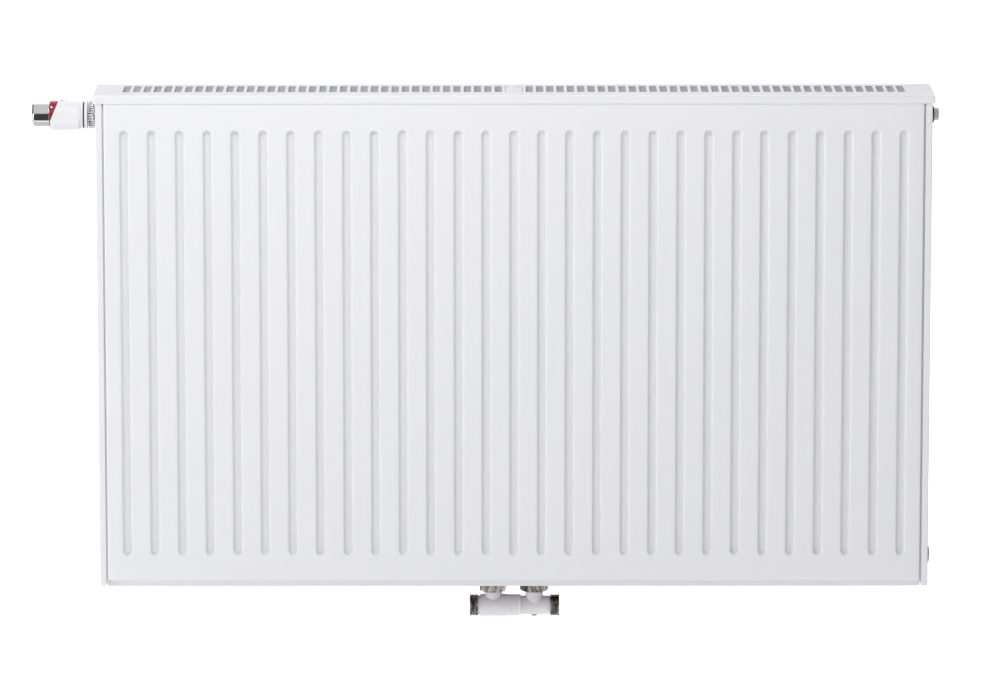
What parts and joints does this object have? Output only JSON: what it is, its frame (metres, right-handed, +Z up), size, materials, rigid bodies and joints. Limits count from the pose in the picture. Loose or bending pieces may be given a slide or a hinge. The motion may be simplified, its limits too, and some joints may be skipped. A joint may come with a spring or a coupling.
{
  "type": "panel radiator",
  "caption": "White steel panel radiator with grooved panels, slotted top grille and side covers, a thermostatic head at the upper left and an H-shaped shut-off valve block below.",
  "frame": {"origin": "on the wall plane, at the centre of the four hanging lugs, which is the centre of the radiator's length and height", "axes": "+X to the right of someone facing the radiator, +Y into the wall, +Z up; the room is on the -Y side"},
  "size_m": [1.0897, 0.1095, 0.6465],
  "materials": {
    "white_enamel": "white stove enamel, satin",
    "fin_enamel": "white stove enamel, thin",
    "fitting_enamel": "white stove enamel over steel",
    "white_lacquer": "white lacquer over brass, satin",
    "white_plastic": "moulded, fine satin",
    "red_plastic": "moulded, glossy",
    "grey_plastic": "moulded, satin",
    "chrome": "bright plated",
    "nickel_brass": "nickel-plated brass, turned",
    "dark_nickel": "dark nickel-plated brass, turned",
    "plain_brass": "turned",
    "stainless": "turned stainless steel",
    "spring_steel": "drawn wire",
    "capsule_aluminium": "drawn, plain",
    "black_rubber": "matt"
  },
  "bodies": {
    "radiator": {"front_outer_sheet": "white_enamel", "front_inner_sheet": "white_enamel", "rear_inner_sheet": "white_enamel", "rear_outer_sheet": "white_enamel", "front_convector": "fin_enamel", "rear_convector": "fin_enamel", "top_grille": "white_enamel", "grille_support_bridge": "white_enamel", "left_side_cover": "white_enamel", "right_side_cover": "white_enamel", "upper_left_lug": "white_enamel", "upper_right_lug": "white_enamel", "lower_left_lug": "white_enamel", "lower_right_lug": "white_enamel", "vent_tee": "fitting_enamel", "lower_left_tee": "fitting_enamel", "lower_right_tee": "fitting_enamel", "valve_tee": "fitting_enamel", "centre_manifold": "fitting_enamel", "riser_pipe": "fitting_enamel", "valve_insert": "nickel_brass", "valve_gland": "nickel_brass", "stem_seal": "black_rubber", "valve_spring": "spring_steel", "head_union_nut": "chrome", "head_base": "white_plastic", "head_sleeve": "white_plastic", "tapping_gaskets": "black_rubber", "vent_plug": "nickel_brass", "vent_seal": "black_rubber", "lower_left_plug": "dark_nickel", "lower_right_plug": "dark_nickel", "flow_nipple": "dark_nickel", "return_nipple": "dark_nickel", "flow_union_nut": "dark_nickel", "return_union_nut": "dark_nickel", "union_seals": "black_rubber", "block_left_half": "white_lacquer", "block_right_half": "white_lacquer", "block_collar": "white_lacquer", "left_pipe_connector": "dark_nickel", "right_pipe_connector": "dark_nickel"},
    "setting_knob": {"setting_ring": "red_plastic", "end_cap": "chrome"},
    "sensor": {"sensor_cartridge": "capsule_aluminium", "pressure_pin": "stainless"},
    "stem": {"valve_stem": "stainless", "valve_disc": "black_rubber"},
    "nozzle": {"vent_nozzle": "grey_plastic"},
    "bleed_screw": {"vent_screw": "nickel_brass"},
    "left_cock": {"left_shutoff_plug": "plain_brass", "left_shutoff_plug_seal": "black_rubber"},
    "right_cock": {"right_shutoff_plug": "plain_brass", "right_shutoff_plug_seal": "black_rubber"}
  },
  "joints": [
    {"name": "knob_turn", "type": "hinge", "parent": "radiator", "child": "setting_knob", "pos_m": [-0.55, -0.058, 0.27], "axis": [-1, 0, 0], "range_deg": [-25, 151]},
    {"name": "sensor_slide", "type": "slide", "parent": "radiator", "child": "sensor", "axis": [-1, 0, 0], "range_m": [-0.00045, 0.0027]},
    {"name": "stem_slide", "type": "slide", "parent": "radiator", "child": "stem", "axis": [-1, 0, 0], "range_m": [-0.00045, 0.0027], "deforming": ["valve_spring"]},
    {"name": "nozzle_turn", "type": "hinge", "parent": "radiator", "child": "nozzle", "pos_m": [0.507, -0.058, 0.27], "axis": [1, 0, 0], "continuous": true},
    {"name": "bleed_screw_turn", "type": "hinge", "parent": "radiator", "child": "bleed_screw", "pos_m": [0.495, -0.058, 0.27], "axis": [1, 0, 0], "range_deg": [0, 360]},
    {"name": "left_cock_turn", "type": "hinge", "parent": "radiator", "child": "left_cock", "pos_m": [-0.025, -0.058, -0.333], "axis": [0, 0, 1], "range_deg": [0, 90]},
    {"name": "right_cock_turn", "type": "hinge", "parent": "radiator", "child": "right_cock", "pos_m": [0.025, -0.058, -0.333], "axis": [0, 0, 1], "range_deg": [0, 90]}
  ],
  "couplings": [
    {"joint": "sensor_slide", "follows": "knob_turn", "m_per_rad": 0.001},
    {"joint": "stem_slide", "follows": "knob_turn", "m_per_rad": 0.001}
  ]
}
